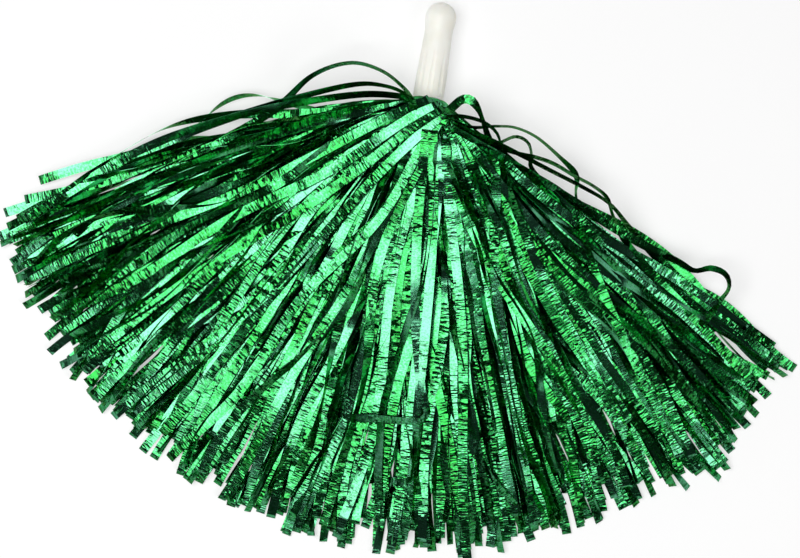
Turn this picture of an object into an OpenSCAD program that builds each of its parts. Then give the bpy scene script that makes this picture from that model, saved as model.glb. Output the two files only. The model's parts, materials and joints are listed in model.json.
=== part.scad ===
// Cheer pom pom with a moulded stick handle, lying on its side with its fringe fanned out.
//
// Twelve sheets of metallic film are slit into strips. Each keeps an uncut header band that is
// wrapped round the spigot at the lower end of the handle, under a binding tape and two wire
// staples. The strips stand up along the handle, fold over at its rim and run back down over
// the tape, so nothing but film shows below the rim. Six sheets take the upper half of the
// spigot and six the lower half, nested one over another. The lower six lie flat. The upper six
// run over the bundle and then drop to their tips: the lowest sags, the top one stands as a dome,
// and the others spread between them.
//
// +Z is up, +Y runs along the handle to its domed end, and +X goes across the fan. The origin
// is on the resting surface, under the middle of the outline.

/* [Handle] */
// Diameter of the grip at its rim, and of its domed knob
grip_d = 20; // [19:0.5:21]
// Diameter of the waist between the grip and the knob
waist_d = 18; // [17:0.5:18.5]
// Length of the grip from its rim to the tip of its dome
grip_l = 65; // [60:1:100]
// How many flutes run along the grip
flute_count = 9; // [5:1:10]
// Depth of a flute at the rim, from where it fades out towards the waist
flute_depth = 0.55; // [0.3:0.05:0.7]
// Width of a flute at the rim
flute_w = 4; // [3:0.25:4.5]
// Diameter of the bore up the middle of the moulding
bore_d = 9; // [6:0.5:10]

/* [Bundle] */
// Diameter of the spigot that the headers are wrapped round
spigot_d = 13.6; // [13:0.2:14]
// Width of the uncut header band along the spigot
header_w = 24; // [20:1:30]
// Thickness of the binding tape
tape_t = 0.4; // [0.3:0.05:0.5]
// Width of the binding tape
tape_w = 18; // [12:1:20]
// Diameter of the staple wire
wire_d = 0.7; // [0.5:0.1:0.8]
// Length of a staple's crown
crown_l = 9; // [7:1:11]

/* [Fringe] */
// Length of the strips from the rim to their tips
fringe_l = 297; // [250:1:320]
// Width of one strip
strip_w = 6; // [5:0.5:7]
// How many strips one sheet is slit into
strip_count = 48; // [40:1:50]
// Half of the angle that the fringe is fanned out to
fan_half = 68; // [55:1:69]
// Share by which the strips at the sides fall short of those in the middle
side_drop = 0.04; // [0:0.01:0.08]
// How far the shortest tips fall short of the longest
tip_spread = 16; // [4:1:30]
// Height of the lowest of the upper tips
low_tip_z = 4.6; // [4.2:0.1:6]
// Rise from one upper sheet's tips to the next one's
tip_pitch = 1.2; // [0.8:0.1:1.6]
// Bow of the lowest upper sheet, in degrees at its ends: less than 0, because it sags
low_bow = -5; // [-5.5:0.5:-5]
// How much more the next upper sheet bows each time
bow_step = 4; // [3.5:0.5:4]

/* [Hidden] */
sheets_per_half = 6;
film_t = 0.36;
film_pitch = 0.56;
play = 0.1;

// The header radii, from the spigot outwards, and the fold that carries the strips back over
// the tape and the staples.
header_r_in = spigot_d / 2 + film_t / 2 + 2 * play;
header_r_out = header_r_in + (sheets_per_half - 1) * film_pitch;
tape_r = header_r_out + film_t / 2 + play;
crown_r = tape_r + tape_t + wire_d / 2;
fold_r = (crown_r + wire_d / 2 + play + film_t / 2 + header_r_out) / 2;
fold_max = fold_r - header_r_in;
fold_z = -(fold_max + film_t / 2 + 5 * play);
back_l = 1;
collar_turn = 176;
flange_t = 2;
flange_d = 18.6;
header_end = fold_z - header_w;
header_mid = fold_z - header_w / 2;
spigot_l = flange_t + 3 * play - header_end;
leg_hole_r = wire_d / 2 + play / 2;

// The knob and the lowest fold both touch the surface, which settles the handle's slope.
knob_r = grip_d / 2;
knob_z = grip_l - knob_r;
slope_a = fold_z - knob_z;
slope_c = knob_r - fold_max - film_t / 2;
tilt = acos(slope_c / norm([slope_a, fold_r])) + atan2(slope_a, fold_r);
axis_z = knob_r + knob_z * sin(tilt);

// The middle of the outline, from the rim.
mid_y = (knob_z * cos(tilt) + knob_r - fringe_l) / 2;

// The grip's outline above the rim, and the flutes' ends on it.
outline_steps = 24;
bead_h = 2.4;
bead_r = knob_r + 0.35;
waist_z = knob_z - 11;
flute_from_z = bead_h + 3;
flute_to_z = waist_z - 8;
flute_end = 2;

// The gate mark's radius, its depth and how far it is turned off the dome's top.
gate_r = 1.6;
gate_depth = 0.45;
gate_turn = 40;

// The fan: a narrow tab joins it to its collar, and it drops once it is past the bundle.
fan_step = 2 * fan_half / strip_count;
fan_sweep = 160;
tab_w = 4;
tab_l = 1.3;
hub_r = 2.5;
shoulder_r = spigot_l + 1;
knee = 0.2;

// Steps, in degrees, of the waves that make the strips' lengths and places uneven.
length_steps = [97, 41, 59, 23];
place_step = 137;
place_shift = 0.4;

film_green = 0.42;
film_tones = 3;

outer_fn = 1440;
turn_fn = 180;
round_fn = 96;
wire_fn = 32;

SHEETS = [for (k = [1:2 * sheets_per_half]) str("fringe_sheet_", k < 10 ? "0" : "", k)];

// Its place on the handle's axis: local +Z runs up the handle, and local -Y faces up.
module on_handle() {
    translate([0, -mid_y, axis_z]) rotate([-90 - tilt, 0, 0]) children();
}

// Radius of the grip at a height above its rim: a long taper to the waist, then the knob.
function grip_r(z) =
    z < waist_z
    ? knob_r - (knob_r - waist_d / 2) * (1 - cos(90 * z / waist_z))
    : waist_d / 2 + (knob_r - waist_d / 2) * (1 - cos(180 * (z - waist_z) / (knob_z - waist_z))) / 2;

module grip_outline() {
    polygon(concat(
        [[0, 0]],
        [for (i = [0:outline_steps]) let (z = knob_z * i / outline_steps) [grip_r(z), z]],
        [[0, knob_z]]
    ));
    translate([0, knob_z]) intersection() {
        circle(r = knob_r, $fn = round_fn);
        square(2 * knob_r);
    }
    // The rolled bead round the rim.
    square([bead_r - bead_h / 4, bead_h]);
    translate([bead_r - bead_h / 2, bead_h / 2]) circle(d = bead_h, $fn = round_fn / 2);
}

// One flute starts in a round above the bead and fades out towards the waist.
module flute() {
    cut_r = (flute_w * flute_w / 4 + flute_depth * flute_depth) / (2 * flute_depth);
    floor_r = grip_r(flute_from_z) - flute_depth;
    rise = flute_to_z - flute_from_z;
    lean = atan((grip_r(flute_to_z) - floor_r) / rise);
    translate([floor_r + cut_r, 0, flute_from_z]) rotate([0, lean, 0]) {
        cylinder(r = cut_r, h = rise / cos(lean) + flute_end, $fn = round_fn);
        sphere(r = cut_r, $fn = round_fn);
    }
}

// The shallow mark that the mould's gate leaves on the dome.
module gate_mark() {
    translate([0, 0, knob_z]) rotate([gate_turn, 0, 0]) translate([0, 0, knob_r + gate_r - gate_depth])
        sphere(r = gate_r, $fn = round_fn / 2);
}

// Two legs of each staple go through the spigot's wall.
module staple_legs(r) {
    leg_end = bore_d / 2 + 4 * play;
    for (side = [-1, 1], at = [-1, 1])
        translate([0, side * leg_end, header_mid + at * (crown_l - wire_d) / 2])
            rotate([-90 * side, 0, 0]) cylinder(r = r, h = crown_r - leg_end, $fn = wire_fn);
}

module handle_grip() {
    color("ivory") on_handle() difference() {
        union() {
            rotate_extrude($fn = round_fn) grip_outline();
            translate([0, 0, -spigot_l]) cylinder(d = spigot_d, h = spigot_l + 1, $fn = round_fn);
            translate([0, 0, -spigot_l]) cylinder(d = flange_d, h = flange_t, $fn = round_fn);
        }
        for (i = [0:flute_count - 1]) rotate([0, 0, 270 + i * 360 / flute_count]) flute();
        translate([0, 0, -spigot_l - 1]) cylinder(d = bore_d, h = spigot_l + knob_z, $fn = round_fn);
        gate_mark();
        staple_legs(leg_hole_r);
    }
}

module binding_tape() {
    color("gainsboro") on_handle() difference() {
        translate([0, 0, header_mid - tape_w / 2]) difference() {
            cylinder(r = tape_r + tape_t, h = tape_w, $fn = round_fn);
            translate([0, 0, -1]) cylinder(r = tape_r, h = tape_w + 2, $fn = round_fn);
        }
        staple_legs(leg_hole_r);
    }
}

module header_staples() {
    color("silver") on_handle() {
        staple_legs(wire_d / 2);
        for (side = [-1, 1]) translate([0, side * crown_r, header_mid]) {
            cylinder(d = wire_d, h = crown_l - wire_d, center = true, $fn = wire_fn);
            for (at = [-1, 1])
                translate([0, 0, at * (crown_l - wire_d) / 2]) sphere(d = wire_d, $fn = wire_fn);
        }
    }
}

// A header band and its fold, on one half of the spigot. A fold of radius q starts q inside
// fold_r and ends q outside it.
module collar(q, start) {
    on_handle() difference() {
        rotate([0, 0, start]) rotate_extrude(angle = collar_turn, $fn = turn_fn) {
            translate([fold_r - q - film_t / 2, header_end]) square([film_t, header_w]);
            translate([fold_r + q - film_t / 2, fold_z - back_l]) square([film_t, back_l]);
            translate([fold_r, fold_z]) intersection() {
                difference() {
                    circle(r = q + film_t / 2, $fn = round_fn);
                    circle(r = q - film_t / 2, $fn = round_fn);
                }
                translate([-2 * q, 0]) square([4 * q, 2 * q]);
            }
        }
        staple_legs(leg_hole_r);
    }
}

// Where strip i of sheet k points, from straight down the fan.
function strip_turn(i, k) = -fan_half + (i + 0.5 + place_shift * sin(place_step * k)) * fan_step;

// From 0 to 1, with no two neighbours alike.
function uneven(i, k) =
    (1 + sin(length_steps[0] * i + length_steps[1] * k) * cos(length_steps[2] * i + length_steps[3] * k)) / 2;

// How long that strip is: a little shorter at the sides, and uneven all along.
function strip_len(i, k) =
    fringe_l * (1 - side_drop * pow(abs(strip_turn(i, k)) / fan_half, 4)) - tip_spread * uneven(i, k);

function along(turn) = [sin(turn), -cos(turn)];
function across(turn) = [cos(turn), sin(turn)];

// Where the outer side of an end strip meets the straight edge beside the bundle.
function side_start(turn, side, edge_y) =
    let (s = (-edge_y + side * strip_w / 2 * sin(turn)) / cos(turn))
    s * along(turn) + side * strip_w / 2 * across(turn);

// The flat outline of one slit sheet, fanned out. The slits open where two strips part.
module fan_outline(k, edge_y) {
    last = strip_count - 1;
    slit_r = strip_w / 2 / sin(fan_step / 2);
    polygon(concat(
        [[-tab_w / 2, edge_y + tab_l], [-tab_w / 2, edge_y]],
        [side_start(strip_turn(0, k), -1, edge_y)],
        [for (i = [0:last], p = [0:2])
            let (turn = strip_turn(i, k), len = strip_len(i, k))
            if (p < 2 || i < last)
                p == 2
                ? slit_r * along(turn + fan_step / 2)
                : len * along(turn) + (p - 0.5) * strip_w * across(turn)],
        [side_start(strip_turn(last, k), 1, edge_y)],
        [[tab_w / 2, edge_y], [tab_w / 2, edge_y + tab_l]]
    ));
}

// How far off fold_r the fold of a sheet runs. m counts the sheets of a half from the innermost.
function fold_q(m) = fold_max - (sheets_per_half - 1 - m) * film_pitch;

// A lower sheet lies flat.
module lower_sheet(k, m) {
    edge_y = (fold_z - back_l) * cos(tilt) - (fold_r + fold_max) * sin(tilt) - 2 * play;
    collar(fold_q(m), (180 - collar_turn) / 2);
    translate([0, -mid_y, (sheets_per_half - 1 - m) * film_pitch])
        linear_extrude(height = film_t) fan_outline(k, edge_y);
}

// The side view of an upper sheet: along the handle's slope over the bundle, then one arc to its tips.
module upper_profile(m) {
    hub_z = axis_z + (fold_r + fold_q(m)) / cos(tilt) + hub_r * tan(tilt);
    shoulder_z = hub_z + (shoulder_r - hub_r) * tan(tilt);
    run = fringe_l - shoulder_r;
    fall = shoulder_z - (low_tip_z + m * tip_pitch);
    bow = low_bow + m * bow_step;
    slope = bow - atan2(fall, run);
    arc_r = norm([run, fall]) / (2 * sin(bow));
    polygon([
        [hub_r, hub_z - film_t / 2],
        [shoulder_r, shoulder_z - film_t / 2],
        [shoulder_r, shoulder_z + film_t / 2],
        [hub_r, hub_z + film_t / 2]
    ]);
    intersection() {
        translate([shoulder_r + arc_r * sin(slope), shoulder_z - arc_r * cos(slope)]) difference() {
            circle(r = abs(arc_r) + film_t / 2, $fn = outer_fn);
            circle(r = abs(arc_r) - film_t / 2, $fn = outer_fn);
        }
        translate([shoulder_r - knee, 0]) square([run + strip_w, 2 * shoulder_z]);
    }
}

// An upper sheet is that side view turned about the middle of the rim, and cut to the fan.
module upper_sheet(k, m) {
    edge_y = (fold_z - back_l) * cos(tilt) + (fold_r + fold_max) * sin(tilt) - 6 * play;
    collar(fold_q(m), 180 + (180 - collar_turn) / 2);
    translate([0, -mid_y, 0]) intersection() {
        rotate([0, 0, 270 - fan_sweep / 2]) rotate_extrude(angle = fan_sweep, $fn = turn_fn) upper_profile(m);
        linear_extrude(height = fringe_l) fan_outline(k, edge_y);
    }
}

module fringe_sheet(k) {
    tone = 1 + 0.4 * (k % film_tones) / film_tones;
    color([0.02, film_green * tone, 0.2 * tone])
        if (k <= sheets_per_half) lower_sheet(k, sheets_per_half - k);
        else upper_sheet(k, k - sheets_per_half - 1);
}

handle_grip();
binding_tape();
header_staples();
for (k = [1:2 * sheets_per_half])
    fringe_sheet(k);
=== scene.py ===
"""The cheer pom pom's looks: a film fringe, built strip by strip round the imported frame.

Every strip of film is a ribbon. It leaves its sheet's header, folds over at the handle's rim
and runs out over the strips that already lie there, so the heap builds up as the real one does.
"""

import json
import math

import bpy
import numpy as np
from mathutils import Matrix, Vector


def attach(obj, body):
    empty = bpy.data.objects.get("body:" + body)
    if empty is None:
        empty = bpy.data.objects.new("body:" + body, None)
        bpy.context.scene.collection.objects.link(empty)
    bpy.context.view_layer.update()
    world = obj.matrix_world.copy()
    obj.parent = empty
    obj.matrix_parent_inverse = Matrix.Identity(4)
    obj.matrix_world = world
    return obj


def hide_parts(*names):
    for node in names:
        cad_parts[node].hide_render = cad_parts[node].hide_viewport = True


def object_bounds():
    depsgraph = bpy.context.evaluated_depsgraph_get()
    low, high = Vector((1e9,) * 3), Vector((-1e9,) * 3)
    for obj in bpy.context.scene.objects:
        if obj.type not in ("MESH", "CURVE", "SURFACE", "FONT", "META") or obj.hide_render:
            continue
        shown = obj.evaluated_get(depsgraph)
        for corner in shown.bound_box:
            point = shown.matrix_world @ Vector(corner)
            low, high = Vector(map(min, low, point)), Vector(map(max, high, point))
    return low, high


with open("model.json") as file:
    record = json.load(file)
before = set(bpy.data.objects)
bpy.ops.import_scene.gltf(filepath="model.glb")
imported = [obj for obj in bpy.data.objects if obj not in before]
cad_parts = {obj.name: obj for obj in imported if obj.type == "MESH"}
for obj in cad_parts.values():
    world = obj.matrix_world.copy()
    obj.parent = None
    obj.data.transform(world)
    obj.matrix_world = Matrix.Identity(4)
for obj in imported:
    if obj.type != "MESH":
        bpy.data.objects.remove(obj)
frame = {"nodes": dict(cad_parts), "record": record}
cad_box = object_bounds()
MM = 0.001
RNG = np.random.default_rng(20)


# ---------------------------------------------------------------- where things are

def mount(name):
    return next(m for m in frame["record"]["mounts"] if m["name"] == name)


GRIP_TO_RIM = 25 * MM  # the grip mount's point is this far above the rim
AXIS = np.array(mount("grip")["axis"])  # up the handle
AXIS /= np.linalg.norm(AXIS)
RIM = np.array(mount("grip")["pos_m"]) - GRIP_TO_RIM * AXIS
UP_LOCAL = np.cross((1, 0, 0), AXIS)  # square to the handle, in the upright plane
UP = np.array((0, 0, 1.0))

# The headers and their folds, as in the solids.
SHEETS = 12
PER_HALF = SHEETS // 2
FOLD_R = 10.81 * MM
FOLD_Z = -4.31 * MM
FOLD_MAX = 3.63 * MM
FOLD_STEP = 0.56 * MM
HEADER_W = 24 * MM
HALF_SLEEVE = math.radians(88)  # a header reaches so far to each side of its middle
BOUND_R = 10.7 * MM  # of all the headers, bound together

# The film.
STRIP_W = 6 * MM
STRIP_L = 300 * MM  # from the header to the tip
STRIPS = 48  # on one sheet
FILM_T = 0.16 * MM
STEP = 3 * MM  # between the rows of a ribbon's mesh

# Where the tips lie, as angles round the rim: 0 is straight away from the handle, and + is to +X.
FAN_LEFT = -math.radians(65.7)
FAN_RIGHT = math.radians(64)
FAN = math.radians(66)  # counts as the edge of the fringe
LOCK = math.radians(5.5)  # strips that lie this close together wander together


# ---------------------------------------------------------------- camera

def aim_camera():
    """Straight above, turned so that the handle leans 9 degrees to the right."""
    cam = bpy.data.cameras.new("camera")
    cam.sensor_width = 36
    cam.lens = 104
    cam.clip_end = 20
    obj = bpy.data.objects.new("camera", cam)
    bpy.context.scene.collection.objects.link(obj)
    view_w = 0.5225  # of the surface, from the picture's left edge to its right one
    place = (0.0003, -0.0006, view_w * cam.lens / cam.sensor_width)
    roll = Matrix.Rotation(math.radians(9), 4, "Z")
    obj.matrix_world = Matrix.Translation(place) @ roll
    bpy.context.scene.camera = obj


aim_camera()


# ---------------------------------------------------------------- node helpers

def new_material(name):
    mat = bpy.data.materials.new(name)
    mat.use_nodes = True
    return mat, mat.node_tree.nodes, mat.node_tree.links


def add(nodes, kind, **values):
    """A node with some of its settings and sockets filled in."""
    node = nodes.new(kind)
    for key, value in values.items():
        if hasattr(node, key):
            setattr(node, key, value)
        else:
            node.inputs[key.replace("_", " ")].default_value = value
    return node


def ramp(nodes, stops):
    node = nodes.new("ShaderNodeValToRGB")
    band = node.color_ramp
    while len(band.elements) < len(stops):
        band.elements.new(0.5)
    for element, (at, colour) in zip(band.elements, stops):
        element.position = at
        element.color = (*colour, 1)
    return node


def calculate(nodes, links, operation, first, second):
    """What a maths node makes of two values, each of them a socket or a number."""
    node = add(nodes, "ShaderNodeMath", operation=operation)
    for socket, value in zip(node.inputs, (first, second)):
        if isinstance(value, bpy.types.NodeSocket):
            links.new(value, socket)
        else:
            socket.default_value = value
    return node.outputs["Value"]


def remap(nodes, links, value, source, target, **settings):
    """The value, stretched from the source range to the target range and held at its ends."""
    node = add(nodes, "ShaderNodeMapRange", **settings)
    for name, number in zip(("From Min", "From Max", "To Min", "To Max"), (*source, *target)):
        node.inputs[name].default_value = number
    links.new(value, node.inputs["Value"])
    return node.outputs["Result"]


# ---------------------------------------------------------------- materials

# The film's colour by its tone, from deep to pale, with the pale end also a painted highlight where the
# film is smooth, and the painted shade in its creases.
FILM_TONES = [
    (0.4, (0.006, 0.215, 0.024)),
    (0.5, (0.022, 0.285, 0.072)),
    (0.6, (0.09, 0.345, 0.195)),
]
# Painted shade: the near-black green painted into the film's creases.
CREASE_SHADE = (0.0004, 0.02, 0.003, 1)
# How many waves a metre of strip holds, along it and across it.
FACETS = (620, 200)
CREASES = (380, 110)
PATCHES = (26, 20)
HUES = (4, 40)
MOTTLES = (800, 600)
FACET_DEPTH = 0.0011
LEAVES_SMOOTH = (0.03, 0.11)  # of its length in metres, over which it gets its full crinkle


def film_material():
    """Metallised green film. Its crinkles run across the strip, and patches of it are smooth. Its colour
    holds painted shade in the creases and a painted highlight on the smooth patches.
    """
    mat, nodes, links = new_material("green_film")
    shader = nodes["Principled BSDF"]
    uv = add(nodes, "ShaderNodeUVMap", uv_map="strip").outputs["UV"]

    def stretched(scale):
        node = add(nodes, "ShaderNodeMapping")
        node.inputs["Scale"].default_value = (*scale, 1)
        links.new(uv, node.inputs["Vector"])
        return node.outputs["Vector"]

    def noise(scale, **values):
        texture = add(nodes, "ShaderNodeTexNoise", noise_dimensions="2D", Scale=1.0, **values)
        links.new(stretched(scale), texture.inputs["Vector"])
        return texture.outputs["Fac"]

    # Flat facets, longer across the strip than along it, and some of them much steeper.
    facets = add(nodes, "ShaderNodeTexVoronoi", voronoi_dimensions="2D", distance="MANHATTAN", Scale=1.0)
    links.new(stretched(FACETS), facets.inputs["Vector"])
    chance = add(nodes, "ShaderNodeSeparateColor")
    links.new(facets.outputs["Color"], chance.inputs["Color"])
    steep = calculate(nodes, links, "POWER", chance.outputs["Red"], 1.6)
    relief = calculate(nodes, links, "MULTIPLY", facets.outputs["Distance"], steep)

    # It is smooth where the patches are low, and smoother where it leaves the binding.
    patches = noise(PATCHES, Detail=2.0)
    place = add(nodes, "ShaderNodeSeparateXYZ")
    links.new(uv, place.inputs["Vector"])
    crinkled = remap(nodes, links, patches, (0.38, 0.63), (0.1, 0.85))
    let_go = remap(nodes, links, place.outputs["X"], LEAVES_SMOOTH, (0.5, 1.0))
    bump = add(nodes, "ShaderNodeBump", Distance=FACET_DEPTH)
    links.new(calculate(nodes, links, "MULTIPLY", crinkled, let_go), bump.inputs["Strength"])
    links.new(relief, bump.inputs["Height"])
    for socket in ("Normal", "Coat Normal"):
        links.new(bump.outputs["Normal"], shader.inputs[socket])

    # Its tone wanders from strip to strip and in fine mottles, and it is painted paler where it is
    # smooth, as a painted highlight.
    hue = remap(nodes, links, noise(HUES, Detail=1.0), (0, 1), (0, 0.35))
    mottle = remap(nodes, links, noise(MOTTLES, Detail=2.0), (0, 1), (0, 0.3))
    # Painted highlight: the smooth patches, which mirror the key lamp, are painted paler and whiter.
    smooth = remap(nodes, links, patches, (0, 1), (0.35, 0))
    tone = calculate(nodes, links, "ADD", calculate(nodes, links, "ADD", hue, mottle), smooth)
    film = ramp(nodes, FILM_TONES)
    links.new(tone, film.inputs["Fac"])

    # Painted shade: thin dark creases painted into the colour, mostly where it is crinkled.
    crinkle = noise(CREASES, Detail=2.5, Roughness=0.6, Distortion=0.5)
    crease = ramp(nodes, [(0.45, (0, 0, 0)), (0.49, (1, 1, 1)), (0.51, (1, 1, 1)), (0.55, (0, 0, 0))])
    links.new(crinkle, crease.inputs["Fac"])
    deep = remap(nodes, links, patches, (0.34, 0.55), (0.1, 0.9))
    dark = add(nodes, "ShaderNodeMix", data_type="RGBA", blend_type="MIX")
    links.new(calculate(nodes, links, "MULTIPLY", crease.outputs["Color"], deep), dark.inputs["Factor"])
    links.new(film.outputs["Color"], dark.inputs["A"])
    dark.inputs["B"].default_value = CREASE_SHADE
    links.new(dark.outputs["Result"], shader.inputs["Base Color"])

    shader.inputs["Metallic"].default_value = 1.0
    shader.inputs["Roughness"].default_value = 0.18
    shader.inputs["Specular Tint"].default_value = (0.05, 0.5, 0.15, 1)
    shader.inputs["Coat Weight"].default_value = 0.3
    shader.inputs["Coat Roughness"].default_value = 0.08
    return mat


def plastic_material():
    """Ivory moulded plastic, a little cloudy, with fine scuffs along the handle."""
    mat, nodes, links = new_material("ivory_plastic")
    shader = nodes["Principled BSDF"]
    where = add(nodes, "ShaderNodeTexCoord")
    cloud = add(nodes, "ShaderNodeTexNoise", Scale=60.0, Detail=3.0)
    links.new(where.outputs["Object"], cloud.inputs["Vector"])
    tone = ramp(nodes, [(0.3, (0.86, 0.85, 0.77)), (0.7, (0.92, 0.915, 0.86))])
    links.new(cloud.outputs["Fac"], tone.inputs["Fac"])
    links.new(tone.outputs["Color"], shader.inputs["Base Color"])
    along = add(nodes, "ShaderNodeMapping")
    along.inputs["Scale"].default_value = (900, 60, 900)
    links.new(where.outputs["Object"], along.inputs["Vector"])
    scuffs = add(nodes, "ShaderNodeTexNoise", Scale=1.0, Detail=4.0)
    links.new(along.outputs["Vector"], scuffs.inputs["Vector"])
    bump = add(nodes, "ShaderNodeBump", Distance=0.0002, Strength=0.12)
    links.new(scuffs.outputs["Fac"], bump.inputs["Height"])
    links.new(bump.outputs["Normal"], shader.inputs["Normal"])
    rough = remap(nodes, links, scuffs.outputs["Fac"], (0, 1), (0.34, 0.5))
    links.new(rough, shader.inputs["Roughness"])
    shader.inputs["Subsurface Weight"].default_value = 0.15
    shader.inputs["Subsurface Radius"].default_value = (0.004, 0.003, 0.002)
    return mat


def tape_material():
    """White cloth tape, with its fine weave in the bump."""
    mat, nodes, links = new_material("cloth_tape")
    shader = nodes["Principled BSDF"]
    where = add(nodes, "ShaderNodeTexCoord")
    threads = add(nodes, "ShaderNodeTexWave", bands_direction="Y", Scale=900.0, Distortion=0.6)
    links.new(where.outputs["Object"], threads.inputs["Vector"])
    tone = ramp(nodes, [(0.2, (0.70, 0.69, 0.66)), (0.8, (0.84, 0.83, 0.80))])
    links.new(threads.outputs["Fac"], tone.inputs["Fac"])
    links.new(tone.outputs["Color"], shader.inputs["Base Color"])
    bump = add(nodes, "ShaderNodeBump", Distance=0.0001, Strength=0.4)
    links.new(threads.outputs["Fac"], bump.inputs["Height"])
    links.new(bump.outputs["Normal"], shader.inputs["Normal"])
    shader.inputs["Roughness"].default_value = 0.75
    return mat


def wire_material():
    """Galvanised wire, a little dull in patches."""
    mat, nodes, links = new_material("galvanised_wire")
    shader = nodes["Principled BSDF"]
    where = add(nodes, "ShaderNodeTexCoord")
    dull = add(nodes, "ShaderNodeTexNoise", Scale=700.0, Detail=3.0)
    links.new(where.outputs["Object"], dull.inputs["Vector"])
    tone = ramp(nodes, [(0.35, (0.42, 0.43, 0.44)), (0.65, (0.62, 0.63, 0.64))])
    links.new(dull.outputs["Fac"], tone.inputs["Fac"])
    links.new(tone.outputs["Color"], shader.inputs["Base Color"])
    rough = remap(nodes, links, dull.outputs["Fac"], (0, 1), (0.25, 0.5))
    links.new(rough, shader.inputs["Roughness"])
    shader.inputs["Metallic"].default_value = 1.0
    return mat


# ---------------------------------------------------------------- the heap of film

class Heap:
    """How high the strips lie so far, on a grid over the fan."""

    CELL = 1.5 * MM
    MARGIN = 40 * MM

    def __init__(self):
        low, high = np.array(cad_box[0]) - self.MARGIN, np.array(cad_box[1]) + self.MARGIN
        self.low = low[:2]
        self.size = np.ceil((high - low)[:2] / self.CELL).astype(int)
        self.z = np.zeros(self.size)

    def cells(self, xy):
        at = ((xy - self.low) / self.CELL).astype(int)
        return tuple(np.clip(at, 0, self.size - 1).T)

    def height(self, xy):
        return self.z[self.cells(xy)]

    def lay(self, points, half, rise):
        """Raises the grid under a ribbon to its top."""
        fine_p, fine_h = between(points, 3), between(half, 3)
        lift = between(rise[:, None], 3)[:, 0]
        for share in np.linspace(-1, 1, 5):
            edge = fine_p + share * fine_h
            np.maximum.at(self.z, self.cells(edge[:, :2]), edge[:, 2] + lift)

    def block(self, radius, from_z, to_z):
        """A round body on the handle's axis, such as the bound headers."""
        for z in np.linspace(from_z, to_z, 60):
            for turn in np.linspace(-1.5, 1.5, 60):
                p = on_handle(radius, turn, z)
                np.maximum.at(self.z, self.cells(p[None, :2]), p[2])


def between(rows, times):
    """The rows again, with more worked out between them."""
    at = np.arange(len(rows))
    fine = np.linspace(0, len(rows) - 1, (len(rows) - 1) * times + 1)
    return np.stack([np.interp(fine, at, rows[:, k]) for k in range(rows.shape[1])], axis=1)


def on_handle(radius, turn, z):
    """A point round the handle's axis; turn 0 is up, and z runs up the handle from its rim."""
    return RIM + z * AXIS + radius * (math.sin(turn) * np.array((1.0, 0, 0)) + math.cos(turn) * UP_LOCAL)


def settle(floor, start, rounds):
    """A height line that starts at start, stays above floor and bends as a springy strip does."""
    z = floor.copy()
    for _ in range(rounds):
        z[0] = max(start, floor[0])
        wide = np.concatenate([[z[0], z[0]], z, [2 * z[-1] - z[-2], 2 * z[-1] - z[-3]]])
        z = (wide[:-4] + 2 * wide[1:-3] + 3 * wide[2:-2] + 2 * wide[3:-1] + wide[4:]) / 9
        z = np.maximum(floor, z)
    z[0] = max(start, floor[0])
    return z


def wave(s, length, phase):
    return np.sin(2 * math.pi * s / length + phase)


def any_wave(s, low, high):
    """A wave over s of a random length, in mm, and phase."""
    return wave(s, RNG.uniform(low, high) * MM, RNG.uniform(0, 2 * math.pi))


def ease(value, start, span):
    """0 up to start, and 1 from span past it."""
    return np.clip((value - start) / span, 0, 1)


def direction(turn):
    """In plan; turn 0 runs straight away from the handle, and it grows towards +X."""
    return np.stack([np.sin(turn), -np.cos(turn)], axis=-1)


def sideways(turn):
    return np.stack([np.cos(turn), np.sin(turn), np.zeros_like(turn)], axis=-1)


def rolled(side, roll):
    return side * np.cos(roll)[:, None] + UP * np.sin(roll)[:, None]


def from_rim(xy):
    return np.hypot(*(xy - RIM[:2]).T)


def level_of(sheet):
    """Whether a sheet takes the upper half of the spigot, and how far out it is nested there."""
    upper = sheet >= PER_HALF
    return upper, sheet - PER_HALF if upper else PER_HALF - 1 - sheet


# ---------------------------------------------------------------- the rules for most strips

# Angles are in degrees and lengths in mm down to cover_strip, unless a name or a comment says
# otherwise. A pair is a range to draw from.

# The order in the heap. It is the strip's place round the spigot, mixed a little.
MIXED = 0.45  # how far the strips of a sheet swap places, as a share of half its width
LEVEL_COUNTS, ORDER_SPREAD = 0.06, 0.12
LATE, GETS_LATE = 110, 40  # the last strips are pressed less, the first of them only in part

# The way in plan.
KICK_SPREAD = 15  # in the middle of the fringe
KICK_SHARE = (0.5, 1.1)
CROSSING, CROSS_KICK, CROSS_REACH = 0.12, 26, (110, 220)  # the share that crosses its neighbours
WAVY, WAVY_TIMES = 0.14, 2.4  # the share that is much wavier than the others
EVEN, EVEN_SHORT, UNEVEN_SHORT = 0.6, 14, (0, 75)  # the share with even tips, and what is cut off
LONG_BY, LONG_AT, LONG_SPAN = 14, 46, 5  # the strips round this angle are longer

# The lie. A roll is how far a strip is tipped sideways.
HELD_TO, HELD_FADES = 15, 45  # from the rim, how far a strip is held flat, and how soon it is free
SPRINGS_FROM, SPRINGS_OVER = 35, 120  # from the rim, where it starts to spring clear of the heap
COVERED_TO, COVERED_FADES = 54, 90  # from the rim, how far the ones over the mouth keep to a roof
FLAT_TIP = (0.13, 0.016)  # a flat strip's roll, in radians: of one that runs to -Y, and to +X
FLAT_SPREAD, FLAT_WAVE, FLAT_FOLLOWS = 5, 4, 0.3
STEEP_ROLL, STEEP_SPREAD, STEEP_WAVE = 32, 12, 14
ROLL_WAVES = (120, 320)  # how long they are
ARCH_BEND, ARCH_START = (0.9, 1.7), (0.75, 1.0)  # the line that a strip seldom sags below
SLOPE_MOST, SLOPE_SPAN = 0.45, 21  # of the heap under a strip, and how many rows smooth it
PRESSED, PRESSED_ROLL = 0.85, 0.35  # what later strips press a steep one down by, and to, in radians
AWAY_FROM, AWAY_BY = 12, 0.5  # past this angle a strip leaves the mouth rolled so, in radians

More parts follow.
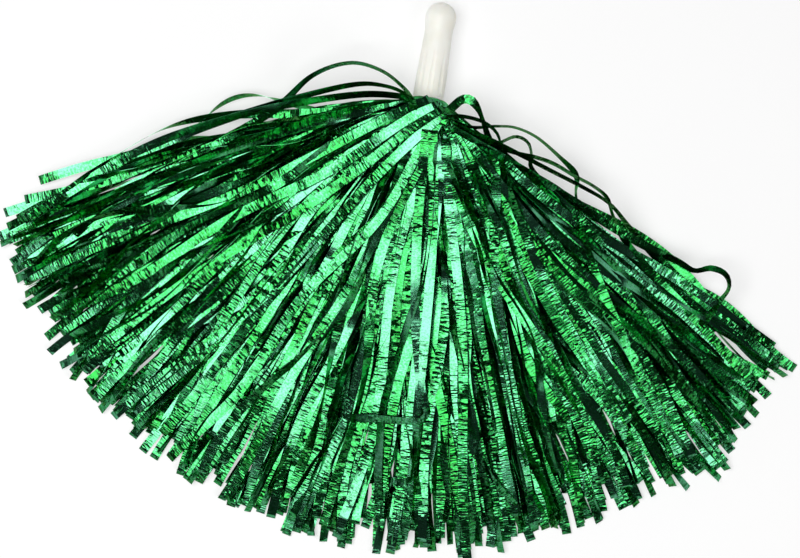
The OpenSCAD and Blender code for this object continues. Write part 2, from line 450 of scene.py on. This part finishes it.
# Most strips lie tidily. On the left, where the fan passes LOOSE_FROM, they are wavier, more of
# them twist, and fewer lie flat.
TIDY = {"flat": 0.48, "twists": 0.15, "waves": 1.0}
LOOSE = {"flat": 0.34, "twists": 0.6, "waves": 1.5}
LOOSE_FROM = -32

# The two sides of the fringe. At its edge a strip sets off kick degrees from its way and is
# shorter than in the middle. How far out a kick reaches is drawn from the first of reach to the
# second, and the third is added to the second at the edge.
LEFT = {"kick": -30, "reach": (50, 90, 60), "shorter": 13}
RIGHT = {"kick": -16, "reach": (50, 80, 0), "shorter": 9}


def plan_strips():
    """What each strip does, from the lowest to the highest."""
    strips = []
    for k in range(SHEETS):
        upper, level = level_of(k)
        for i in range(STRIPS):
            side = (i + 0.5) / STRIPS * 2 - 1  # -1 to 1 across the sheet
            turn = side * HALF_SLEEVE if upper else math.pi - side * HALF_SLEEVE
            strips.append({"sheet": k, "side": side, "turn": turn, "level": level, "upper": upper})
    n = len(strips)
    mixed = np.array([s["side"] for s in strips]) + RNG.normal(0, MIXED, n)
    rank = np.argsort(np.argsort(mixed))
    for j, s in enumerate(strips):
        s["fan"] = FAN_LEFT + (rank[j] + 0.5) / n * (FAN_RIGHT - FAN_LEFT)
        outer = LEVEL_COUNTS * s["level"] * (1 if s["upper"] else -1)
        s["order"] = math.cos(s["turn"]) + outer + RNG.normal(0, ORDER_SPREAD)
    return sorted(strips, key=lambda s: s["order"])


def pile_rise(out, late):
    """How much one strip adds to the heap: little by the binding, where they are pressed."""
    near = 0.01 + 0.05 * late
    far = 0.5 + 0.2 * late
    return (near + (far - near) * ease(out, 15 * MM, 110 * MM) ** 1.3) * MM


def lock_of(fan, sheet):
    """The lock of strips that fan falls in: its middle and its own random numbers."""
    shift = 0.37 * sheet
    number = math.floor(fan / LOCK + shift)
    return (number + 0.5 - shift) * LOCK, np.random.default_rng(6000 + 37 * sheet + 7 * number)


def run_out(start, fan, kick, reach, length, bends):
    """The plan of a strip: it sets off kick away from its way, wanders, and its tip lies at fan."""
    s = np.arange(0, length + STEP / 2, STEP)
    turn = fan + kick * np.exp(-s / reach)
    for amount, span, phase in bends:
        turn = turn + amount * wave(s, span, phase) * np.minimum(1, s / (40 * MM))
    xy = np.concatenate([[[0, 0]], np.cumsum(direction(turn)[1:] * STEP, axis=0)])
    tip = start[:2] + xy[-1] - RIM[:2]
    miss = fan - math.atan2(tip[0], -tip[1])
    spin = np.array([[math.cos(miss), math.sin(miss)], [-math.sin(miss), math.cos(miss)]])
    return s, start[:2] + xy @ spin, turn + miss


def fold(turn, q, lift, points=9):
    """From the header, over the fold and back, on the handle's side at turn. It folds round q from
    the fold's middle, and its crown is lifted."""
    t = np.linspace(0, math.pi, points)
    rows = [on_handle(FOLD_R - q, turn, FOLD_Z - 3 * MM)]
    rows += [on_handle(FOLD_R - q * math.cos(a), turn, FOLD_Z + (q + lift) * math.sin(a)) for a in t]
    return np.array(rows)


def bend(rng, spread, low, high, times=1.0):
    """A wave in a strip's way: how strong it is, how long, and its phase."""
    amount = math.radians(rng.normal(0, spread)) * times
    return amount, rng.uniform(low, high) * MM, rng.uniform(0, 6.28)


def wander(fan, share, waves, lock):
    """How a strip leaves its way: the kick that it sets off with, how far that reaches, and its
    bends. Share is how near it lies to the fringe's edge."""
    edge = LEFT if fan < 0 else RIGHT
    least, middle, more = edge["reach"]
    kick = math.radians(edge["kick"]) * share ** 3 * RNG.uniform(*KICK_SHARE)
    kick += RNG.normal(0, math.radians(KICK_SPREAD)) * (1 - share)
    reach = RNG.uniform(least, middle + more * share) * MM
    if RNG.random() < CROSSING:
        kick += RNG.normal(0, math.radians(CROSS_KICK)) * (1 - share ** 3)
        reach = RNG.uniform(*CROSS_REACH) * MM
    if RNG.random() < WAVY:
        waves = WAVY_TIMES * waves
    return kick, reach, [bend(lock, 5, 110, 260), bend(RNG, 4.5, 90, 260, waves), bend(RNG, 2, 35, 80)]


def length_of(fan, share):
    """Of a strip from its fold. Most are cut about even, and the others are shorter."""
    short = abs(RNG.normal(0, EVEN_SHORT)) if RNG.random() < EVEN else RNG.uniform(*UNEVEN_SHORT)
    shorter = 6 + short + (LEFT if fan < 0 else RIGHT)["shorter"] * share
    longer = LONG_BY * math.exp(-((fan - math.radians(LONG_AT)) / math.radians(LONG_SPAN)) ** 2)
    return STRIP_L + (longer - shorter) * MM


def lean_of(turn, along, flat):
    """How a strip is rolled of itself, and how far it follows the slope that it lies on."""
    if flat:
        tip = FLAT_TIP[0] * np.cos(turn) + FLAT_TIP[1] * np.sin(turn)
        more = RNG.normal(0, FLAT_SPREAD) + RNG.normal(0, FLAT_WAVE) * any_wave(along, *ROLL_WAVES)
        return tip + np.radians(more), FLAT_FOLLOWS
    steep = RNG.choice([-1, 1]) * RNG.normal(STEEP_ROLL, STEEP_SPREAD)
    return np.radians(steep + RNG.normal(0, STEEP_WAVE) * any_wave(along, *ROLL_WAVES)), 1.0


def stands(roll):
    """How much higher the middle of a strip lies when it is rolled."""
    return 0.4 * STRIP_W * np.abs(np.sin(roll))


def lay_down(heap, xy, turn, along, start_z, late, flat, over=None):
    """Lets a strip down on the heap: its height and roll all along, and the heap grows by it.
    Over is a height that it keeps to near the mouth of the bundle."""
    out = from_rim(xy)
    free = ease(out, HELD_TO * MM, HELD_FADES * MM) if over is None else np.ones_like(out)
    side = sideways(turn)
    left, mid, right = (heap.height(xy + k * STRIP_W / 2 * side[:, :2]) for k in (-1, 0, 1))
    rise = pile_rise(out, late)
    lean, follows = lean_of(turn, along, flat)
    lean = lean * free
    floor = np.maximum(mid, (left + right) / 2) + 0.3 * rise + stands(lean)
    if over is not None:
        kept = 1 - ease(out, COVERED_TO * MM, COVERED_FADES * MM)
        floor += kept * np.maximum(0, over - floor)
    arch = (1 - ease(along, 0, along[-1])) ** RNG.uniform(*ARCH_BEND) * RNG.uniform(*ARCH_START)
    floor = np.maximum(floor, start_z * arch)
    z = settle(floor, start_z, 50)
    spring = ease(out, SPRINGS_FROM * MM, SPRINGS_OVER * MM) ** 1.6
    z = np.maximum(floor + spring * (z - floor), start_z - along)
    slope = np.clip((right - left) / STRIP_W, -SLOPE_MOST, SLOPE_MOST)
    kernel = np.hanning(SLOPE_SPAN) / np.hanning(SLOPE_SPAN).sum()
    slope = np.convolve(np.pad(slope, SLOPE_SPAN // 2, mode="edge"), kernel, mode="valid")
    roll = follows * np.arctan(slope) * free + lean
    # The heap takes a steep strip as pressed down by those that come after it.
    pressed = floor - PRESSED * stands(lean) + 0.5 * (z - floor)
    half = STRIP_W / 2 * rolled(side, np.clip(roll, -PRESSED_ROLL, PRESSED_ROLL))
    heap.lay(np.column_stack([xy, pressed]), half, rise)
    return z, roll, free


def loosen(z, roll, free, along, twist_share):
    """What a strip does above the ones it rests on: waves, and here and there a twist."""
    if RNG.random() < twist_share:
        middle, span = RNG.uniform(0.1, 0.9) * along[-1], RNG.uniform(20, 80) * MM
        twist = math.radians(RNG.choice([-1, 1]) * RNG.uniform(40, 100))
        twist = twist * np.exp(-((along - middle) / span) ** 2)
        z = z + stands(twist)
        roll = roll + twist
    loft = max(0, RNG.normal(0, 0.8)) * MM
    z = z + loft * (0.5 + 0.5 * any_wave(along, 80, 200)) * free
    z = z + RNG.normal(0, 1, len(z)) * RNG.uniform(0.005, 0.05) * MM
    return z, roll


def ribbon_from(head, head_half, xy, z, half):
    """Joins a head and a run, and keeps both edges of the run above the surface."""
    z = np.maximum(z, np.abs(half[:, 2]) + 0.2 * MM)
    points = np.concatenate([head, np.column_stack([xy, z])[1:]])
    return points, np.concatenate([head_half, half[1:]])


def common_strip(heap, s, late):
    """A strip that follows the rules, from its header to its tip."""
    q = FOLD_MAX - (PER_HALF - 1 - s["level"]) * FOLD_STEP
    lift = RNG.uniform(0.4, 1.6) * MM if s["upper"] else 0.0
    head = fold(s["turn"], q * RNG.uniform(0.9, 1.05), lift)
    middle, lock = lock_of(s["fan"], s["sheet"])
    fan = s["fan"] + 0.3 * (middle - s["fan"])
    share = abs(fan) / FAN
    manner = LOOSE if fan < math.radians(LOOSE_FROM) else TIDY
    kick, reach, bends = wander(fan, share, manner["waves"], lock)
    along, xy, turn = run_out(head[-1], fan, kick, reach, length_of(fan, share), bends)
    flat = RNG.random() < manner["flat"]
    z, roll, free = lay_down(heap, xy, turn, along, head[-1][2], late, flat)
    z, roll = loosen(z, roll, free, along, manner["twists"])
    start_roll = s["turn"] if s["upper"] else s["turn"] - math.pi
    if fan > math.radians(AWAY_FROM):
        start_roll -= AWAY_BY
    roll = roll + start_roll * np.exp(-along / (RNG.uniform(20, 65) * MM))
    half = STRIP_W / 2 * rolled(sideways(turn), roll)
    ring = math.cos(s["turn"]) * np.array((1.0, 0, 0)) - math.sin(s["turn"]) * UP_LOCAL
    ring = STRIP_W / 2 * (ring if s["upper"] else -ring)
    return ribbon_from(head, np.tile(ring, (len(head), 1)), xy, z, half)


# ---------------------------------------------------------------- strips that follow the photo

# The strips that lie over the mouth of the bundle, from the lowest: the middle of the crease in
# mm from the rim's middle, and the way that the strip runs, in degrees.
COVERS = (
    (15, -24, 14), (12, -19, 4), (8, -14, -8), (9.5, -12.5, -18), (10.5, -10.5, -27), (11, -8, -36),
    (9, -5.2, -44), (5, -2.8, -51), (0.5, -0.9, -57),
)
COVER_HEAD = ((0, -2.4, -7), (0, -2.2, -3), (0, -0.9, -1), (0, 0.1, -0.45))  # in mm, to its crease
COVER_GAP = 0.4 * MM  # from one of them to the next


def roof_line(heap):
    """Distances from the rim, and a height there that the heap seldom passes on the covers' side.
    It never rises on the way out."""
    outs = np.arange(3, 330, 3) * MM
    turns = np.radians(np.arange(-62, 16, 3))
    high = np.array([np.percentile(heap.height(RIM[:2] + out * direction(turns)), 92) for out in outs])
    high = np.maximum.accumulate(high[::-1])[::-1]
    return outs, np.convolve(np.pad(high, 5, mode="edge"), np.ones(11) / 11, mode="valid")


def cover_strip(heap, roof, number, x, y, fan):
    """A strip over the mouth of the bundle. It comes up under the others and folds back flat,
    slantwise, so that it runs off to the side."""
    crease = RIM[:2] + np.array((x, y)) * MM
    kick = math.radians(RNG.normal(0, 4))
    length = STRIP_L - RNG.uniform(8, 26) * MM
    along, xy, turn = run_out(crease, math.radians(fan), kick, 80 * MM, length, [bend(RNG, 3, 120, 260)])
    over = np.interp(from_rim(xy), *roof) + COVER_GAP * (number + 1)
    z, roll, free = lay_down(heap, xy, turn, along, over[0], 1.0, True, over)
    top = np.array((*crease, z[0]))
    head = np.vstack([top + np.array(COVER_HEAD) * MM, top])
    z, roll = loosen(z, roll, free, along, 0.0)
    half = STRIP_W / 2 * rolled(sideways(turn), roll)
    straight = np.array((STRIP_W / 2, 0, 0))
    slant = sideways(np.array(turn[0] / 2)) * STRIP_W / 2 / math.cos(turn[0] / 2)
    halves = np.array([straight, straight, (straight + slant) / 2, slant, slant])
    return ribbon_from(head, halves, xy, z, half)


# The strips that the eye picks out, where they spring clear at the shoulders of the fringe or
# bend back near its tips. The rows of one are x and y from the rim's middle and its height above
# the surface, in mm, and its roll in degrees.
STRAYS = (
    # a wide thin arc over the left shoulder
    ((-8, -6, 18, -55), (-15.8, 4.1, 24, -72), (-32, 13, 31, -74), (-53, 14.7, 33, -72),
     (-76, 3, 28, -65), (-96.7, -21.2, 18, -40), (-130, -48, 15, -10), (-170, -70, 12, 10),
     (-212, -90, 8, 5), (-250, -104, 3, 0)),
    # along the left shoulder's edge
    ((-7, -8, 18, -50), (-14, 0, 24, -70), (-28.3, 4.1, 27, -72), (-51, 1, 28, -62),
     (-97.2, -18, 20, -50), (-143, -41, 15, -30), (-180, -62, 10, 10), (-215, -77, 6, -5),
     (-242, -90, 3, 0)),
    ((-8, -9, 18, -40), (-13, -2, 23, -55), (-40, -3, 27, -50), (-88, -17, 20, -45),
     (-135, -36, 13, -50), (-178, -60, 8, -20), (-225, -98, 4, 0)),
    # the creased loop beside the mouth, which then runs down the right of the middle
    ((10, -16, 20, 0), (13.5, -7.5, 26, -10), (17.5, -1.6, 30, -20), (21.7, 2.8, 33, -15),
     (27, 3.2, 35, 10), (32, -1, 34, 50), (35.7, -6.5, 33, 68), (40, -15, 31, 55),
     (45.9, -28, 30, 30), (52, -50, 28, 5), (57, -90, 24, 0), (70, -140, 18, -8), (88, -190, 12, 5),
     (104, -240, 6, 0)),
    # a loop behind it
    ((10, -12, 20, 60), (22, -8, 27, 70), (36, -9, 31, 72), (47, -15, 31, 76), (52, -27, 28, 78),
     (60, -50, 24, 50), (90, -100, 18, 10), (128, -150, 12, 0), (165, -200, 7, 0)),
    # the long thin arc over the right shoulder, with its kink
    ((14, -12, 20, 60), (30, -14, 27, 72), (45, -11, 31, 78), (57.8, -9.6, 32, 79),
     (72.6, -13.5, 31, 78), (89.3, -23.4, 27, 72), (100, -31, 24, 55), (103, -37, 23, 65),
     (103.8, -46, 20, 80), (112, -72, 16, 40), (140, -120, 12, 5), (178, -172, 7, 0),
     (200, -205, 4, 0)),
    # smaller ones beyond it
    ((16, -14, 20, 60), (34, -20, 26, 70), (47.3, -21.5, 28, 72), (58.7, -15.1, 29, 74),
     (67, -17, 28, 75), (71, -23.5, 25, 78), (75, -36, 20, 60), (110, -62, 15, 20),
     (160, -95, 9, 0), (226, -140, 4, 0)),
    ((16, -16, 20, 60), (50, -24, 24, 68), (82, -27, 24, 70), (101, -34, 25, 74),
     (113.3, -38.1, 24, 76), (123.9, -44.3, 22, 72), (130.3, -55.7, 17, 76), (146, -76, 13, 40),
     (190, -110, 8, 0), (236, -146, 4, 0)),
    ((16, -14, 20, 60), (60, -25, 22, 66), (104, -39, 24, 70), (126, -48, 24, 74),
     (143.9, -62.8, 17, 60), (172, -84, 10, 20), (215, -112, 6, -5), (252, -133, 3, 0)),
    # the loop that curls back at the far right
    ((16, -16, 20, 55), (80, -40, 20, 40), (140, -66, 14, 20), (175.4, -77.2, 14, 50),
     (187.2, -81.6, 17, 60), (197.4, -78.4, 20, 50), (207, -81, 21, 60), (210.8, -89.5, 18, 75),
     (206, -100, 10, 60), (196, -118, 6, 20)),
    # near the tips, two folded back across the others
    ((2, -20, 24, 0), (6, -80, 26, 5), (14, -140, 20, -10), (25, -185, 17, -20),
     (31, -200, 18, -45), (22, -206, 18, -42), (0, -208, 17, -36), (-24, -211, 14, -30)),
    ((6, -20, 24, 0), (16, -80, 25, 5), (22, -150, 18, 10), (24.5, -200, 14, 30),
     (27.5, -238, 10, 70), (24, -245, 10, 40), (12, -248, 8, 0)),
)
STRAY_TOP = cad_box[1][2] + 7 * MM  # their middles stand no higher
STRAY_SIDE = 0.7  # they are slit from the outer parts of the upper sheets


def between_knots(a, b, c, d):
    """The smooth way from b to c, when a comes before them and d after."""
    t = np.linspace(0, 1, 12, endpoint=False)[:, None]
    square, cube = 2 * a - 5 * b + 4 * c - d, 3 * b - a - 3 * c + d
    return 0.5 * (2 * b + (c - a) * t + square * t ** 2 + cube * t ** 3)


def spline(rows):
    """A smooth line through the rows, with a row every STEP of the way."""
    rows = np.array(rows, dtype=float)
    knots = np.vstack([2 * rows[0] - rows[1], rows, 2 * rows[-1] - rows[-2]])
    spans = [between_knots(*four) for four in zip(knots, knots[1:], knots[2:], knots[3:])]
    dense = np.vstack([*spans, rows[-1:]])
    s = np.concatenate([[0], np.cumsum(np.linalg.norm(np.diff(dense[:, :3], axis=0), axis=1))])
    even = np.arange(0, s[-1], STEP / MM)
    return np.stack([np.interp(even, s, dense[:, k]) for k in range(dense.shape[1])], axis=1)


def stray_strip(heap, rows):
    """A strip that springs clear of the others."""
    line = spline(rows)
    xy = RIM[:2] + line[:, :2] * MM
    way = np.gradient(xy, axis=0)
    side = sideways(np.arctan2(way[:, 0], -way[:, 1]))
    half = STRIP_W / 2 * rolled(side, np.radians(line[:, 3]))
    z = np.maximum(line[:, 2] * MM, heap.height(xy) + 0.5 * np.abs(half[:, 2]) + 0.3 * MM)
    z = np.minimum(z, STRAY_TOP)
    z = settle(z, z[0], 6)
    heap.lay(np.column_stack([xy, z]), half, np.full(len(z), 0.2 * MM))
    return np.column_stack([xy, z]), half


# ---------------------------------------------------------------- the fringe

def header_band(k):
    """The uncut band of a sheet, wrapped round half of the spigot."""
    upper, level = level_of(k)
    radius = FOLD_R - FOLD_MAX + (PER_HALF - 1 - level) * FOLD_STEP
    middle = 0 if upper else math.pi
    turns = np.linspace(middle - HALF_SLEEVE, middle + HALF_SLEEVE, 33)
    points = np.array([on_handle(radius, turn, FOLD_Z - HEADER_W / 2) for turn in turns])
    return points, np.tile(AXIS * HEADER_W / 2, (len(points), 1))


def make_ribbons():
    """The ribbons of every sheet, as points along their middles and their half widths there."""
    heap = Heap()
    ribbons = [[header_band(k)] for k in range(SHEETS)]
    strips = plan_strips()
    strays = [s for s in strips if s["upper"] and abs(s["side"]) > STRAY_SIDE][-len(STRAYS):]
    common = [s for s in strips if not any(s is stray for stray in strays)]
    common, covers = common[:-len(COVERS)], common[-len(COVERS):]
    lower = sum(s["order"] < 0 for s in common)
    for n, s in enumerate(common):
        if n == lower:  # the rest lie over the bound headers
            heap.block(BOUND_R, FOLD_Z - HEADER_W - 2 * MM, FOLD_Z)
        late = min(1, max(0, (n - (len(common) - LATE)) / GETS_LATE))
        ribbons[s["sheet"]].append(common_strip(heap, s, late))
    roof = roof_line(heap)
    for number, (s, row) in enumerate(zip(covers, COVERS)):
        ribbons[s["sheet"]].append(cover_strip(heap, roof, number, *row))
    for s, rows in zip(strays, STRAYS):
        ribbons[s["sheet"]].append(stray_strip(heap, rows))
    return ribbons


# ---------------------------------------------------------------- meshes

UV_APART = 0.39  # between the ribbons of a sheet in the film's map
BAKE_SHARES = (0.04, 0.46, 0.5, 0.92, 0.96)  # where a ribbon's faces start and end in its column


def strip_box(points, half):
    """The corners of a ribbon, four to a row, as a thin box whose edges keep off the surface."""
    tangent = np.gradient(points, axis=0)
    tangent /= np.linalg.norm(tangent, axis=1)[:, None]
    half = half - (half * tangent).sum(1)[:, None] * tangent
    below = np.abs(half[:, 2]) + FILM_T - points[:, 2]
    points = points + np.maximum(0, below)[:, None] * UP
    normal = np.cross(half, tangent)
    normal *= FILM_T / 2 / np.linalg.norm(normal, axis=1)[:, None]
    over, under = points + normal, points - normal
    corners = np.stack([over - half, over + half, under + half, under - half], axis=1)
    s = np.concatenate([[0], np.cumsum(np.linalg.norm(np.diff(points, axis=0), axis=1))])
    return corners, s, 2 * np.linalg.norm(half, axis=1).mean()


def face_rows(first, second, near, far):
    """The map's points for a side's faces, whose rows run from first to second."""
    near, far = np.full(len(first), near), np.full(len(first), far)
    pairs = ((first, near), (first, far), (second, far), (second, near))
    return np.stack([np.column_stack(pair) for pair in pairs], axis=1).reshape(-1, 2)


def ribbon_mesh(name, ribbons):
    """One closed thin box per ribbon, all in one mesh. The map "strip" holds its metres, and
    "OFBake" lays the ribbons side by side, each in a column of its own."""
    verts, quads, uvs, bakes = [], [], [], []
    base = 0
    for number, (points, half) in enumerate(ribbons):
        n = len(points)
        corners, s, width = strip_box(points, half)
        verts.append(corners.reshape(-1, 3))
        first_v = UV_APART * number
        across = first_v + np.cumsum((0, width, FILM_T, width, FILM_T))
        column = (number + np.array(BAKE_SHARES)) / len(ribbons)
        up_column = 0.01 + 0.98 * s / s[-1]
        ring = base + 4 * np.arange(n - 1)
        for side in range(4):
            after = (side + 1) % 4
            quads.append(np.stack([ring + side, ring + after, ring + 4 + after, ring + 4 + side], axis=1))
            uvs.append(face_rows(s[:-1], s[1:], across[side], across[side + 1]))
            bake = face_rows(up_column[:-1], up_column[1:], column[side], column[side + 1])
            bakes.append(bake[:, ::-1])
        for at, order, v in ((0, (3, 2, 1, 0), 0.0), (n - 1, (0, 1, 2, 3), 0.99)):
            quads.append(np.array([[base + 4 * at + c for c in order]]))
            uvs.append(np.tile((s[at], first_v), (4, 1)))
            near, far = column[:2]
            bakes.append(np.array([(near, v), (far, v), (far, v + 0.01), (near, v + 0.01)]))
        base += 4 * n
    return box_mesh(name, np.concatenate(verts), np.concatenate(quads), {"strip": uvs, "OFBake": bakes})


def box_mesh(name, verts, quads, maps):
    """An object of thin boxes, four corners to a row, with a row for each corner in its maps."""
    mesh = bpy.data.meshes.new(name)
    mesh.vertices.add(len(verts))
    mesh.vertices.foreach_set("co", verts.ravel())
    mesh.loops.add(quads.size)
    mesh.loops.foreach_set("vertex_index", quads.ravel())
    mesh.polygons.add(len(quads))
    mesh.polygons.foreach_set("loop_start", np.arange(len(quads)) * 4)
    mesh.update(calc_edges=True)
    for map_name, rows in maps.items():
        layer = mesh.uv_layers.new(name=map_name)
        layer.data.foreach_set("uv", np.concatenate(rows).ravel())
    mesh.validate()
    # The long edges are sharp, so that a strip shades as flat across.
    ends = np.empty(len(mesh.edges) * 2, dtype=np.int32)
    mesh.edges.foreach_get("vertices", ends)
    corner = ends.reshape(-1, 2) % 4
    sharp = mesh.attributes.new("sharp_edge", "BOOLEAN", "EDGE")
    sharp.data.foreach_set("value", corner[:, 0] == corner[:, 1])
    obj = bpy.data.objects.new(name, mesh)
    bpy.context.scene.collection.objects.link(obj)
    return obj


def build_fringe():
    film = film_material()
    for k, ribbons in enumerate(make_ribbons()):
        obj = ribbon_mesh(f"film_sheet_{k + 1:02d}", ribbons)
        obj.data.materials.append(film)
        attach(obj, "root")
        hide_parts(f"fringe_sheet_{k + 1:02d}")


def dress(node, material):
    for slot in frame["nodes"][node].material_slots:
        slot.material = material


build_fringe()
dress("handle_grip", plastic_material())
dress("binding_tape", tape_material())
dress("header_staples", wire_material())


# ---------------------------------------------------------------- stage

WHITE_FROM, WHITE_TO = 0.4, 0.9  # in metres from the origin, the floor turns plain white
NEARBY = 0.45  # how far it is lifted to white nearer by, where it keeps the shadow


def stage():
    """A pale floor, seen as plain white past the light's reach."""
    mesh = bpy.data.meshes.new("floor")
    size = 6
    corners = [(-size, -size, 0), (size, -size, 0), (size, size, 0), (-size, size, 0)]
    mesh.from_pydata(corners, [], [(0, 1, 2, 3)])
    floor = bpy.data.objects.new("floor", mesh)
    bpy.context.scene.collection.objects.link(floor)
    mat, nodes, links = new_material("floor")
    shader = nodes["Principled BSDF"]
    shader.inputs["Base Color"].default_value = (0.96, 0.96, 0.96, 1)
    shader.inputs["Roughness"].default_value = 0.9
    shader.inputs["Specular IOR Level"].default_value = 0.1
    where = add(nodes, "ShaderNodeTexCoord")
    far = add(nodes, "ShaderNodeVectorMath", operation="LENGTH")
    links.new(where.outputs["Object"], far.inputs[0])
    reach = remap(nodes, links, far.outputs["Value"], (WHITE_FROM, WHITE_TO), (NEARBY, 1),
                  interpolation_type="SMOOTHSTEP")
    path = add(nodes, "ShaderNodeLightPath")
    seen = path.outputs["Is Camera Ray"]
    for ray in ("Is Glossy Ray", "Is Transmission Ray"):
        seen = calculate(nodes, links, "MAXIMUM", seen, path.outputs[ray])
    white = add(nodes, "ShaderNodeEmission")
    mix = add(nodes, "ShaderNodeMixShader")
    links.new(calculate(nodes, links, "MULTIPLY", reach, seen), mix.inputs["Fac"])
    links.new(shader.outputs["BSDF"], mix.inputs[1])
    links.new(white.outputs["Emission"], mix.inputs[2])
    links.new(mix.outputs["Shader"], nodes["Material Output"].inputs["Surface"])
    mesh.materials.append(mat)


def softbox(name, place, size, power):
    """A square lamp, turned to the origin."""
    lamp = bpy.data.lights.new(name, "AREA")
    lamp.shape = "RECTANGLE"
    lamp.size, lamp.size_y = size, size
    lamp.energy = power
    obj = bpy.data.objects.new(name, lamp)
    bpy.context.scene.collection.objects.link(obj)
    obj.location = place
    obj.rotation_euler = (-Vector(place)).to_track_quat("-Z", "Y").to_euler()


def light():
    """Soft boxes in a room whose walls are white and whose ceiling is dark."""
    world = bpy.data.worlds.new("studio")
    bpy.context.scene.world = world
    world.use_nodes = True
    nodes, links = world.node_tree.nodes, world.node_tree.links
    back = nodes["Background"]
    back.inputs["Color"].default_value = (1, 1, 1, 1)
    where = add(nodes, "ShaderNodeTexCoord")
    split = add(nodes, "ShaderNodeSeparateXYZ")
    links.new(where.outputs["Generated"], split.inputs["Vector"])
    strength = remap(nodes, links, split.outputs["Z"], (0.15, 0.35), (1.0, 0.03),
                     interpolation_type="SMOOTHSTEP")
    links.new(strength, back.inputs["Strength"])
    softbox("key", place=(-0.4, -0.05, 1.5), size=1.3, power=25)
    softbox("fill", place=(0.9, -0.5, 1.2), size=0.6, power=5)


stage()
light()
bpy.context.scene.view_settings.view_transform = "Standard"
